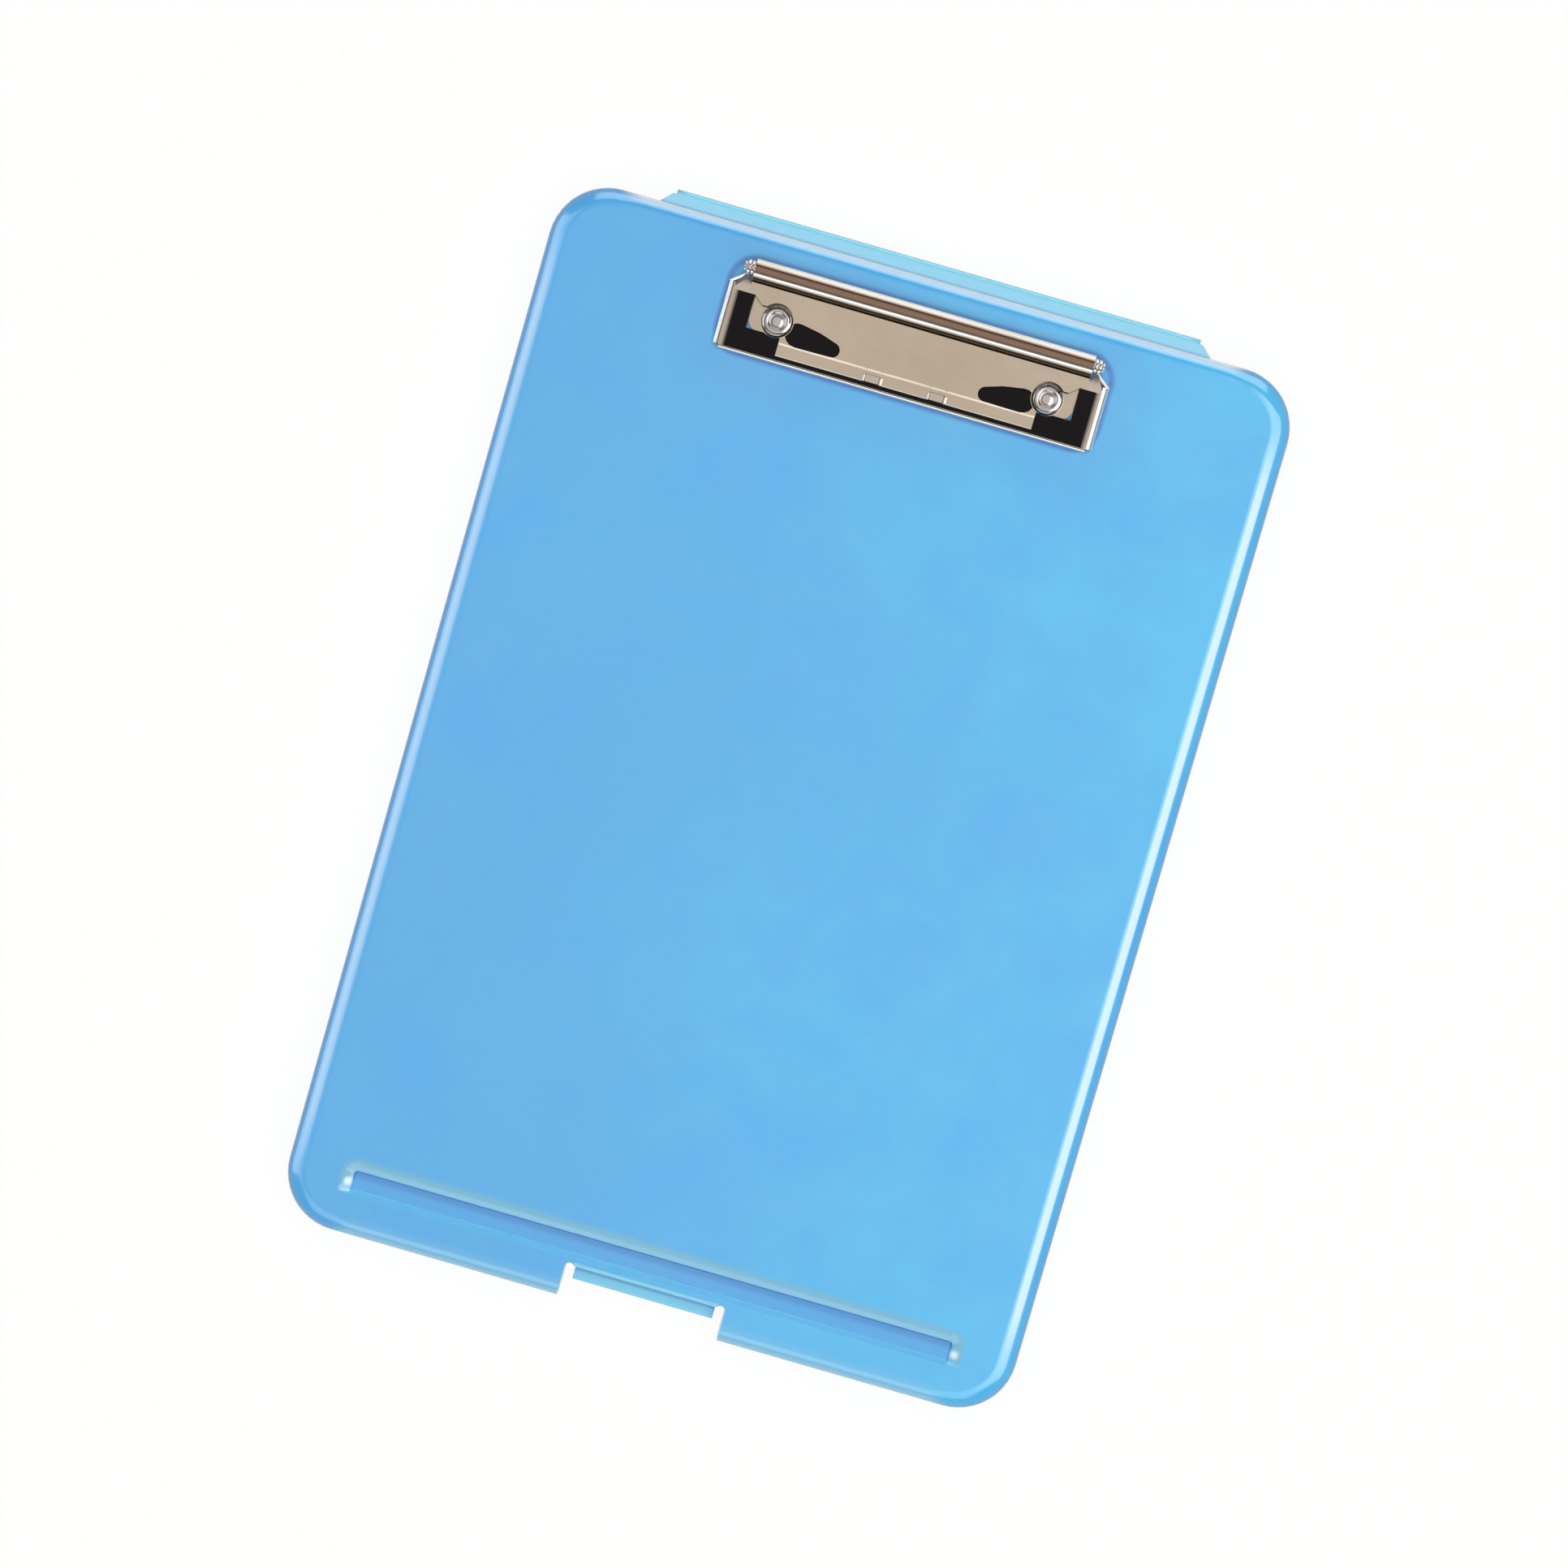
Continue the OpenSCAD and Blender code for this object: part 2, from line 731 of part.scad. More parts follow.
// Ramp at one end of the jaw: it rises and narrows from the flat plate to the ear, with a wall down its outer side
module jaw_ramp() {
    ear_out = jaw_ear_x + sheet_t;
    bend_x = clip_w / 2 - skirt_bend_r;
    intersection() {
        between_x(arm_x, clip_w / 2)
            polygon([
                [-jaw_rear, jaw_h - sheet_t],
                [-jaw_rear, jaw_h],
                [-ramp_front, jaw_h],
                [-ramp_rear, jaw_h + ramp_h],
                [-ramp_rear, jaw_h + ramp_h - sheet_t],
                [-ramp_front, jaw_h - sheet_t]
            ]);
        linear_extrude(2 * pin_h)
            polygon([
                [arm_x, -jaw_rear],
                [bend_x, -jaw_rear],
                [bend_x, -ramp_turn],
                [ear_out, -ramp_rear],
                [jaw_ear_x, -ramp_rear],
                [jaw_ear_x, -ramp_rear - sheet_t],
                [arm_x, -ramp_front]
            ]);
    }
    intersection() {
        between_x(jaw_ear_x, clip_w / 2)
            polygon([
                [-shoulder_front, skirt_foot],
                [-shoulder_front, jaw_h],
                [-ramp_rear, jaw_h + ramp_h],
                [-shoulder_rear, jaw_h + ramp_h],
                [-shoulder_rear, pin_h - ear_r],
                [1 - shoulder_front, skirt_foot]
            ]);
        linear_extrude(2 * pin_h)
            polygon([
                [clip_w / 2, -shoulder_front],
                [clip_w / 2 - 1.5 * sheet_t, -shoulder_front],
                [ear_out - sheet_t, -shoulder_rear - sheet_t / 2],
                [ear_out - sheet_t, -shoulder_rear],
                [ear_out, -shoulder_rear]
            ]);
    }
}

// Ear at one end of the jaw, on the pin
module jaw_ear() {
    ear_root = [pin_y - 1, sqrt(ear_r * ear_r - 1)];
    pin_ear(jaw_ear_x, [
        [-ramp_front, jaw_h - sheet_t],
        [-ramp_front, jaw_h],
        [-ramp_rear, jaw_h + ramp_h],
        [ear_root[0], pin_h + ear_root[1]],
        [pin_y, pin_h],
        [ear_root[0], pin_h - ear_root[1]],
        [-shoulder_front, jaw_h - sheet_t]
    ])
        on_pin(jaw_ear_x - past, jaw_ear_x + sheet_t + past, pin_r + pin_clear);
}

module clip_jaw() {
    color(dark_steel)
        clip_place() {
            jaw_plate();
            jaw_lip();
            both_sides() {
                jaw_ramp();
                jaw_ear();
                jaw_skirt();
                translate([tab_x - tab_w / 2 + tab_gap, tab_gap - strip_front, jaw_h])
                    cube([tab_w - 2 * tab_gap, tab_l, cover_t]);
            }
        }
}

// Semi-tubular rivet: dimpled round head, shank through base plate and lid, rolled tail on the washer
module clip_rivets() {
    tail_z = -wall - washer_t;
    bore_z = tail_z + tail_bore_h;
    top_z = sheet_t + rivet_head_h;
    dimple_z = top_z - dimple_depth;
    crown_r = rivet_head_r - rivet_crown_w;
    color(bright_steel)
        rivet_places()
            rotate_extrude()
                polygon(concat(
                    [[0, bore_z], [tail_bore_r, bore_z], [tail_bore_r, tail_z - tail_t]],
                    arc([tail_r - tail_t / 2, tail_z - tail_t / 2], tail_t / 2, -90, 90, 4),
                    [[rivet_shank_r, tail_z], [rivet_shank_r, sheet_t], [rivet_head_r, sheet_t]],
                    oval([crown_r, sheet_t + rivet_rim], [rivet_crown_w, rivet_head_h - rivet_rim], 0, 90),
                    oval([crown_r, dimple_z], [crown_r - dimple_r, dimple_depth], 100, 180),
                    oval([0, dimple_z], [dimple_r - 0.2, dimple_rise], 10, 90)));
}

module clip_rivet_washers() {
    color(bright_steel)
        rivet_places()
            translate([0, 0, -wall - washer_t])
                difference() {
                    cylinder(r = rivet_head_r, h = washer_t);
                    translate([0, 0, -past])
                        cylinder(r = rivet_hole_r, h = washer_t + 2 * past);
                }
}

// A ring of the spring's wire: its place, and the angle of the line across the wire in the (y, z) plane
function wire_ring(x, yz, across) = [x, yz[0], yz[1], across];

function heading(a) = [cos(a), sin(a)];

// Straight leg on the base plate, coil round the pin, and a short end against the roll's free edge
function spring_rings() = concat(
    [wire_ring(0, leg_tip, coil_from)],
    [for (i = [0:coil_steps]) let (a = coil_from + coil_sweep * i / coil_steps)
        wire_ring(coil_pitch * coil_sweep / 360 * i / coil_steps, pin_at + coil_r * heading(a), a)],
    [for (i = [1:2]) let (bend_at = pin_at + (coil_r + end_bend_r) * heading(end_a))
        wire_ring(coil_l, bend_at + end_bend_r * heading(end_a + 180 - 45 * i), end_a - 45 * i)],
    [wire_ring(coil_l, pin_at + roll_r * heading(end_a) + end_bend_r * heading(end_a + 90), end_a - 90)]);

module spring() {
    rings = spring_rings();
    sides = 6;
    last = len(rings) - 1;
    points = [for (r = rings, k = [0:sides - 1])
        let (a = 360 * k / sides, u = wire_d / 2 * cos(a))
            [r[0] + wire_d / 2 * sin(a), r[1] + u * cos(r[3]), r[2] + u * sin(r[3])]];
    end = last * sides;
    caps = [for (k = [1:sides - 2]) each [[0, k, k + 1], [end, end + k + 1, end + k]]];
    skin = [for (i = [0:last - 1], k = [0:sides - 1])
        let (a = i * sides, b = a + sides, next = (k + 1) % sides)
            each [[a + k, b + k, b + next], [a + k, b + next, a + next]]];
    polyhedron(points, concat(caps, skin));
}

// Least gap between turns of the wire, measured on points at least half a turn apart
coil_points = [for (r = spring_rings()) [r[0], r[1], r[2]]];
coil_gap = min([for (i = [1:len(coil_points) - 5], j = [i + 4:len(coil_points) - 1])
    norm(coil_points[i] - coil_points[j])]) - wire_d;
echo("Least gap in a spring", coil_gap);

module clip_spring_right() {
    color(bright_steel)
        clip_place()
            translate([coil_x, 0, 0])
                spring();
}

module clip_spring_left() {
    mirror([1, 0, 0])
        clip_spring_right();
}

tray();
lid();
hinge_web();
latch_tongue();
clip_base_plate();
clip_hinge_pin();
clip_spring_left();
clip_spring_right();
clip_cover_plate();
clip_jaw();
clip_rivets();
clip_rivet_washers();
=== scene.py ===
import json
import math
import bmesh
import bpy
from mathutils import Matrix, Vector

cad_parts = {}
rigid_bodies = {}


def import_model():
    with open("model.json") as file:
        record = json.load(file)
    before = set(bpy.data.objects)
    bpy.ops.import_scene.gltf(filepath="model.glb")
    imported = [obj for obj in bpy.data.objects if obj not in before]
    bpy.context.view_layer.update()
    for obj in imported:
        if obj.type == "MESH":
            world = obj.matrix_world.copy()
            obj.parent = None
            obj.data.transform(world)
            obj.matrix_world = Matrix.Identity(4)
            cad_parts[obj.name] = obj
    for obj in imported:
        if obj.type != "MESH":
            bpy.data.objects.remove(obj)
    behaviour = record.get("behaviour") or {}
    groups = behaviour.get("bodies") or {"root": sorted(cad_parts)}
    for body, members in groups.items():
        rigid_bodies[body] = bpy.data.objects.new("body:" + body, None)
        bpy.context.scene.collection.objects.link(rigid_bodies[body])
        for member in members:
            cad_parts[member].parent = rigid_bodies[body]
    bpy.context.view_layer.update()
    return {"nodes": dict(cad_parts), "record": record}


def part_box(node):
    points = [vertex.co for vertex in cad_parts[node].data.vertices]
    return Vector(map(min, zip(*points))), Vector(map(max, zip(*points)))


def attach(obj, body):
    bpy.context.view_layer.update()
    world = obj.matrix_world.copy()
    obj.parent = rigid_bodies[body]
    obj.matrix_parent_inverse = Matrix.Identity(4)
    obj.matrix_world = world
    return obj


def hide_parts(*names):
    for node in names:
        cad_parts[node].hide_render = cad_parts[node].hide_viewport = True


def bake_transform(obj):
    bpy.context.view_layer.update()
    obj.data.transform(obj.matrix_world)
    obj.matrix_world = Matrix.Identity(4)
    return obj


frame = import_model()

mm = 0.001
scene = bpy.context.scene
nodes = frame["nodes"]


def nodeBody(nodeName):
    for body, members in frame["record"]["behaviour"]["bodies"].items():
        if nodeName in members:
            return body


# camera above the lid, a little beyond the hinge end, turned so that the box leans to the right
cameraSet = {
    "distance": 1.2,
    "lean": 16.1,          # degrees the box is turned clockwise in the picture
    "tilt": 3.8,           # degrees the camera stands towards the hinge end
    "frame": 1932,         # picture width the framing below is read in
    "pixelsPerMetre": 3925.0,
    "boxMiddle": (966.4, 990.9),
    "flange": 3.5 * mm,    # hinge flange, which doesn't count towards the lid's middle
    "filmWidth": 36,
    "clip": (0.05, 20),
}


def placeCamera(s):
    lidLow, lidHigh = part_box("lid")
    target = Vector((0, (lidLow.y + lidHigh.y - s["flange"]) / 2, lidHigh.z))
    tilt, lean = math.radians(s["tilt"]), math.radians(s["lean"])
    back = Vector((0, math.sin(tilt), math.cos(tilt)))
    up = back.cross(Vector((math.cos(lean), math.sin(lean), 0))).normalized()
    right = up.cross(back).normalized()
    data = bpy.data.cameras.new("studioCamera")
    camera = bpy.data.objects.new("studioCamera", data)
    scene.collection.objects.link(camera)
    turn = Matrix((right, up, back)).transposed().to_4x4()
    turn.translation = target + back * s["distance"]
    camera.matrix_world = turn
    data.sensor_width = s["filmWidth"]
    data.lens = s["filmWidth"] * s["pixelsPerMetre"] * s["distance"] / s["frame"]
    data.shift_x = 0.5 - s["boxMiddle"][0] / s["frame"]
    data.shift_y = s["boxMiddle"][1] / s["frame"] - 0.5
    data.clip_start, data.clip_end = s["clip"]
    scene.camera = camera


# shader helpers
def newMaterial(name):
    material = bpy.data.materials.new(name)
    material.use_nodes = True
    return material, material.node_tree, material.node_tree.nodes["Principled BSDF"]


def join(tree, source, target):
    tree.links.new(source, target)


def addNode(tree, kind, inputs=None, **settings):
    node = tree.nodes.new(kind)
    for key, value in settings.items():
        setattr(node, key, value)
    for key, value in (inputs or {}).items():
        if isinstance(value, bpy.types.NodeSocket):
            join(tree, value, node.inputs[key])
        else:
            node.inputs[key].default_value = value
    return node


def calc(tree, operation, first, second=0.0):
    return addNode(tree, "ShaderNodeMath", {0: first, 1: second}, operation=operation).outputs[0]


def both(tree, first, second):
    return calc(tree, "MULTIPLY", first, second)


# how far a place along one axis is from a middle, either way
def offFrom(tree, place, middle=0.0):
    return calc(tree, "ABSOLUTE", calc(tree, "SUBTRACT", place, middle))


def diagonal(tree, first, second):
    squares = [calc(tree, "POWER", side, 2.0) for side in (first, second)]
    return calc(tree, "SQRT", calc(tree, "ADD", *squares))


def ramp(tree, value, low, high, toLow=0.0, toHigh=1.0, smooth=False):
    node = addNode(tree, "ShaderNodeMapRange", {0: value, 1: low, 2: high, 3: toLow, 4: toHigh},
                   interpolation_type="SMOOTHSTEP" if smooth else "LINEAR")
    return node.outputs[0]


def mixColours(tree, factor, first, second):
    return addNode(tree, "ShaderNodeMix", {0: factor, 6: first, 7: second}, data_type="RGBA").outputs[2]


# noise on the piece's own coordinates
def cloud(tree, scale, detail=3.0, roughness=0.5, stretch=(1, 1, 1)):
    place = addNode(tree, "ShaderNodeTexCoord")
    mapping = addNode(tree, "ShaderNodeMapping", {"Vector": place.outputs["Object"], "Scale": stretch})
    return addNode(tree, "ShaderNodeTexNoise", {"Vector": mapping.outputs[0], "Scale": scale, "Detail": detail,
                                                "Roughness": roughness}).outputs["Fac"]


def patches(tree, noise, span, toLow=0.0, toHigh=1.0):
    return ramp(tree, cloud(tree, *noise), *span, toLow, toHigh)


# place on the piece: x across the lid, y towards the hinge, z up
def whereOn(tree):
    place = addNode(tree, "ShaderNodeTexCoord")
    return addNode(tree, "ShaderNodeSeparateXYZ", {0: place.outputs["Object"]}).outputs


# marks laid on a piece's faces when it is made: 1 on softened edges, or on flat faces
def faceMark(tree, markName):
    return addNode(tree, "ShaderNodeAttribute", attribute_name=markName).outputs["Fac"]


def addBump(tree, shader, layers):
    last = None
    for height, strength, distance in layers:
        inputs = {"Height": height, "Strength": strength, "Distance": distance}
        if last:
            inputs["Normal"] = last
        last = addNode(tree, "ShaderNodeBump", inputs).outputs["Normal"]
    join(tree, last, shader.inputs["Normal"])


# tones are written as they look on the screen
def rgb(red, green, blue):
    def linear(c):
        c = c / 255
        return c / 12.92 if c <= 0.04045 else ((c + 0.055) / 1.055) ** 2.4
    return (linear(red), linear(green), linear(blue), 1)


# the box's rounded outline; its rear and front edges count as straight between the x of straightTo each way
outlineSet = {"halfWidth": 120 * mm, "halfLength": 170.5 * mm, "middle": -2.5 * mm, "corner": 19 * mm,
              "straightFrom": 103 * mm, "straightTo": 94 * mm}


# distance inwards from a rounded outline
def insetFromOutline(tree, where, s):
    beyondX = calc(tree, "SUBTRACT", offFrom(tree, where[0]), s["halfWidth"] - s["corner"])
    beyondY = calc(tree, "SUBTRACT", offFrom(tree, where[1], s["middle"]), s["halfLength"] - s["corner"])
    reach = diagonal(tree, *[calc(tree, "MAXIMUM", beyond, 0.0) for beyond in (beyondX, beyondY)])
    inside = calc(tree, "MINIMUM", calc(tree, "MAXIMUM", beyondX, beyondY), 0.0)
    return calc(tree, "SUBTRACT", calc(tree, "SUBTRACT", s["corner"], reach), inside)


# painted light and shade in and round the pen groove: a painted highlight on its slope and along its front wall,
# painted shade on its floor and at its step, and a painted glint at each end; its floor ends in a quarter turn at each
# end, and its slope follows that
grooveSet = {
    "front": -159.5 * mm, "frontBlur": 0.2 * mm,        # y of the front wall
    "turnX": 97.4 * mm, "turnY": -153.1 * mm,           # middle of the quarter turn, which the next line counts from
    "stepFrom": 0.4 * mm, "stepTo": 1.3 * mm, "stepBlur": 0.3 * mm, "slopeTo": 6.2 * mm, "slopeWidth": 2.6 * mm,
    "floorShadeTone": rgb(78, 165, 226), "slopeHighlightTone": rgb(114, 182, 215),
    "shade": 2.2 * mm, "shadeTone": rgb(70, 143, 206),
    "wallFrom": 0.8 * mm, "wallTo": 1.7 * mm,           # painted highlight strip, counted from the front wall
    "wallShort": 1.0 * mm, "paintedWallTone": rgb(118, 212, 255),
    # painted glint where the slope ends
    "brightX": 99.9 * mm, "brightY": 3.8 * mm, "brightFrom": 0.2 * mm, "brightTo": 2.1 * mm,
    "paintedGlintTone": rgb(214, 240, 250),
}


def paintGrooveShadeAndHighlights(tree, where, colour, s):
    offMiddle = offFrom(tree, where[0])
    beyondX = calc(tree, "MAXIMUM", calc(tree, "SUBTRACT", offMiddle, s["turnX"]), 0.0)
    beyondY = calc(tree, "SUBTRACT", where[1], s["turnY"])
    reach = diagonal(tree, beyondX, calc(tree, "MAXIMUM", beyondY, 0.0))
    behindFront = ramp(tree, where[1], s["front"] - s["frontBlur"], s["front"] + s["frontBlur"])
    # painted highlight on the slope and along the front wall, painted shade on the floor and at the step, painted
    # glint at each end
    slope = ramp(tree, reach, s["slopeTo"], s["slopeTo"] - s["slopeWidth"], smooth=True)
    floor = ramp(tree, reach, s["stepTo"], s["stepFrom"])
    shade = both(tree, ramp(tree, beyondY, -s["shade"], 0.0, smooth=True),
                 ramp(tree, reach, s["stepTo"] + s["stepBlur"], s["stepTo"] - s["stepBlur"]))
    wall = both(tree, ramp(tree, where[1], s["front"] + s["wallTo"], s["front"] + s["wallFrom"], smooth=True),
                ramp(tree, reach, s["slopeTo"] - s["wallShort"], s["stepTo"]))
    away = diagonal(tree, calc(tree, "SUBTRACT", offMiddle, s["brightX"]),
                    calc(tree, "SUBTRACT", where[1], s["front"] + s["brightY"]))
    bright = ramp(tree, away, s["brightTo"], s["brightFrom"], smooth=True)
    inGroove = colour
    for part, tone in ((slope, "slopeHighlightTone"), (floor, "floorShadeTone"), (shade, "shadeTone"), (wall, "paintedWallTone"),
                       (bright, "paintedGlintTone")):
        inGroove = mixColours(tree, part, inGroove, s[tone])
    return mixColours(tree, behindFront, colour, inGroove)


# deeper blue in a ring round the clip, on the lid's top only, where the clip keeps the light off it
clipShadeSet = {
    "halfWidth": 61.5 * mm, "halfLength": 15.0 * mm, "middle": 143.7 * mm, "corner": 8 * mm,    # the clip's outline
    "innerFrom": -1.5 * mm, "innerTo": -0.3 * mm,       # the ring starts just inside that outline
    "outerFrom": 0.2 * mm,                              # and fades from here outwards
    "topFrom": 19.4 * mm, "topTo": 19.8 * mm,           # heights just below the lid's top
    "rings": [(22 * mm, 0.2, rgb(92, 148, 200)), (1.9 * mm, 0.7, rgb(62, 112, 190))],   # reach, strength, tone
}


def tintClipShade(tree, where, colour, s):
    outside = calc(tree, "MULTIPLY", insetFromOutline(tree, where, s), -1.0)
    inRing = both(tree, ramp(tree, outside, s["innerFrom"], s["innerTo"], smooth=True),
                  ramp(tree, where[2], s["topFrom"], s["topTo"]))
    for reach, strength, tone in s["rings"]:
        near = ramp(tree, outside, reach, s["outerFrom"], 0.0, strength, smooth=True)
        colour = mixColours(tree, both(tree, near, inRing), colour, tone)
    return colour


# painted shade on the line in front of the tongue's root, where it turns down
rootShadeSet = {"middle": -163.9 * mm, "reach": 1.4 * mm, "tone": rgb(76, 150, 206)}


def paintRootShade(tree, where, colour, s):
    off = offFrom(tree, where[1], s["middle"])
    return mixColours(tree, ramp(tree, off, s["reach"], 0.0, smooth=True), colour, s["tone"])


# tinted plastic, too cloudy to see through, with fine grain and hair scratches; painted shade deepens it down the
# walls, and painted highlights pale it along the edges' rounding
lidPlasticSet = {
    "left": rgb(83, 172, 231), "right": rgb(82, 189, 240),
    "leftTo": -0.11, "rightFrom": 0.12, "wander": 0.06,         # places across the lid, and how far they wander
    "cloudy": rgb(74, 171, 238), "cloudyStrength": 0.65,
    # painted shade down the walls; painted highlights on the rounding of the rear and front edges
    "paintedWallTone": rgb(60, 146, 212), "wallDepth": 2.9 * mm, "wallShadeStrength": 0.8,
    "wallTop": 14.4 * mm, "roundingTop": 16.0 * mm,     # heights between which the walls turn into the rounding
    "rearHighlightTone": rgb(220, 240, 250), "rearDepth": 3.0 * mm, "frontHighlightTone": rgb(132, 195, 229), "frontDepth": 7.5 * mm,
    "fullDepth": 0.3 * mm,                              # inset up to which wall, rear and front tones are full
    # painted highlights, as pale bands along the sides: sign of x, inset from and to, tone; their blurs, and the
    # places where they fade out
    "paintedLightAndShadeBands": [(-1, 2.1 * mm, 5.1 * mm, rgb(136, 192, 236)), (1, 2.8 * mm, 6.1 * mm, rgb(180, 218, 240))],
    "bandBlurs": (0.7 * mm, 0.9 * mm), "bandAcross": (85 * mm, 112 * mm), "bandAlong": (130 * mm, 160 * mm),
    # painted light: the flange beyond the rear edge is paler, lit through its thin plastic
    "flangeLitTone": rgb(136, 204, 233), "flangeFrom": (-0.2 * mm, -0.5 * mm),
    # softened edges turn paler: partly wear, partly painted highlight
    "edgeTone": rgb(150, 212, 240), "edgeLow": 0.3, "edgeHigh": 0.7,
    "runOutFrom": 2.0 * mm, "runOutTo": 6.8 * mm, "runOutDrop": 0.64 * mm,
    "level": 0.8, "index": 1.5, "roughLow": 0.12, "roughHigh": 0.17, "scuffRough": 0.05,
    # noises: scale, detail, roughness and stretch, then the span that each is read over
    "broad": (9.0, 3.0), "broadSpan": (0.3, 0.7),
    "blotches": (26.0, 4.0, 0.55), "blotchSpan": (0.38, 0.66),
    "wear": (260.0, 3.0), "wearSpan": (0.35, 0.65),
    "scuffs": (22.0, 5.0, 0.65), "scuffSpan": (0.45, 0.75),
    "grain": (1400.0, 3.0), "grainSpan": (0.35, 0.65), "grainStrength": 0.12, "grainDepth": 0.008 * mm,
    "hairs": (60.0, 5.0, 0.7, (1, 14, 1)), "hairStrength": 0.15, "hairDepth": 0.01 * mm,
}
trayPlasticSet = dict(lidPlasticSet, left=rgb(84, 164, 224), right=rgb(88, 176, 232), cloudy=rgb(80, 158, 222),
                      wallShadeStrength=0.4)
# the tongue and the hinge web carry paler tones: painted light showing through their thin plastic, which on the tongue
# also cancels the shade it stands in
tonguePlasticSet = dict(lidPlasticSet, left=rgb(122, 204, 236), right=rgb(122, 206, 238), cloudy=rgb(112, 198, 234),
                        wallShadeStrength=0.0, frontDepth=0.6 * mm)
webPlasticSet = dict(lidPlasticSet, left=rgb(110, 200, 232), right=rgb(112, 202, 234), cloudy=rgb(104, 194, 230),
                     wallShadeStrength=0.0, flangeLitTone=rgb(120, 208, 236))


# how far a point lies beside the straight rear and front edges: 0 along them, 1 down the sides and round the corners
def alongSides(tree, where):
    return ramp(tree, offFrom(tree, where[0]), outlineSet["straightTo"], outlineSet["straightFrom"], smooth=True)


# the sides' rounding runs out softly over the flat of the lid
def sideRunOut(tree, where, inset, s):
    drop = ramp(tree, inset, s["runOutFrom"], s["runOutTo"], -s["runOutDrop"], 0.0, smooth=True)
    return both(tree, drop, alongSides(tree, where))


# painted shade and highlights round the outline: painted shade in deep blue down the walls and round the corners, a
# painted highlight on the rounding of the rear and front edges, and a painted highlight band on the rounding of each
# side
def paintOutlineShadeAndHighlights(tree, where, inset, colour, s):
    onRounding = ramp(tree, where[2], s["wallTop"], s["roundingTop"], smooth=True)
    straight = both(tree, calc(tree, "SUBTRACT", 1.0, alongSides(tree, where)), onRounding)
    atRear = both(tree, straight, calc(tree, "GREATER_THAN", where[1], outlineSet["middle"]))
    atFront = calc(tree, "SUBTRACT", straight, atRear)
    # painted shade down the walls and round the corners
    wall = both(tree, ramp(tree, inset, s["fullDepth"], s["wallDepth"], s["wallShadeStrength"], 0.0, smooth=True),
                calc(tree, "SUBTRACT", 1.0, straight))
    colour = mixColours(tree, wall, colour, s["paintedWallTone"])
    offMiddle = offFrom(tree, where[1], outlineSet["middle"])
    alongBand = both(tree, ramp(tree, offMiddle, *s["bandAlong"], 1.0, 0.0, smooth=True), onRounding)
    # painted highlight bands along each side's rounding, paler on the right
    for sign, bandFrom, bandTo, tone in s["paintedLightAndShadeBands"]:
        nearSide = ramp(tree, calc(tree, "MULTIPLY", where[0], sign), *s["bandAcross"], smooth=True)
        band = both(tree, ramp(tree, inset, bandFrom, bandFrom + s["bandBlurs"][0], smooth=True),
                    ramp(tree, inset, bandTo, bandTo - s["bandBlurs"][1], smooth=True))
        colour = mixColours(tree, both(tree, band, both(tree, nearSide, alongBand)), colour, tone)
    # painted highlights on the rounding of the rear and front edges
    for place, depth, tone in ((atRear, s["rearDepth"], s["rearHighlightTone"]), (atFront, s["frontDepth"], s["frontHighlightTone"])):
        there = both(tree, ramp(tree, inset, depth, s["fullDepth"], smooth=True), place)
        colour = mixColours(tree, there, colour, tone)
    # painted light on the flange beyond the rear edge
    return mixColours(tree, ramp(tree, inset, *s["flangeFrom"]), colour, s["flangeLitTone"])


def makePlastic(name, s, tints=()):
    material, tree, shader = newMaterial(name)
    where = whereOn(tree)
    across = calc(tree, "ADD", where[0], patches(tree, s["broad"], s["broadSpan"], -s["wander"], s["wander"]))
    colour = mixColours(tree, ramp(tree, across, s["leftTo"], s["rightFrom"], smooth=True), s["left"], s["right"])
    blotches = patches(tree, s["blotches"], s["blotchSpan"], 0.0, s["cloudyStrength"])
    colour = mixColours(tree, blotches, colour, s["cloudy"])
    for tint, tintSet in tints:
        colour = tint(tree, where, colour, tintSet)
    inset = insetFromOutline(tree, where, outlineSet)
    colour = paintOutlineShadeAndHighlights(tree, where, inset, colour, s)
    # paler softened edges: partly wear, partly painted highlight
    wearAndSheen = both(tree, faceMark(tree, "softEdge"),
                patches(tree, s["wear"], s["wearSpan"], s["edgeLow"], s["edgeHigh"]))
    colour = mixColours(tree, wearAndSheen, colour, s["edgeTone"])
    join(tree, colour, shader.inputs["Base Color"])
    grain = cloud(tree, *s["grain"])
    scuffs = patches(tree, s["scuffs"], s["scuffSpan"])
    rough = calc(tree, "ADD", ramp(tree, grain, *s["grainSpan"], s["roughLow"], s["roughHigh"]),
                 calc(tree, "MULTIPLY", scuffs, s["scuffRough"]))
    join(tree, rough, shader.inputs["Roughness"])
    addBump(tree, shader, [(sideRunOut(tree, where, inset, s), 1.0, 1.0),
                           (grain, s["grainStrength"], s["grainDepth"]),
                           (cloud(tree, *s["hairs"]), s["hairStrength"], s["hairDepth"])])
    shader.inputs["IOR"].default_value = s["index"]
    shader.inputs["Specular IOR Level"].default_value = s["level"]
    return material


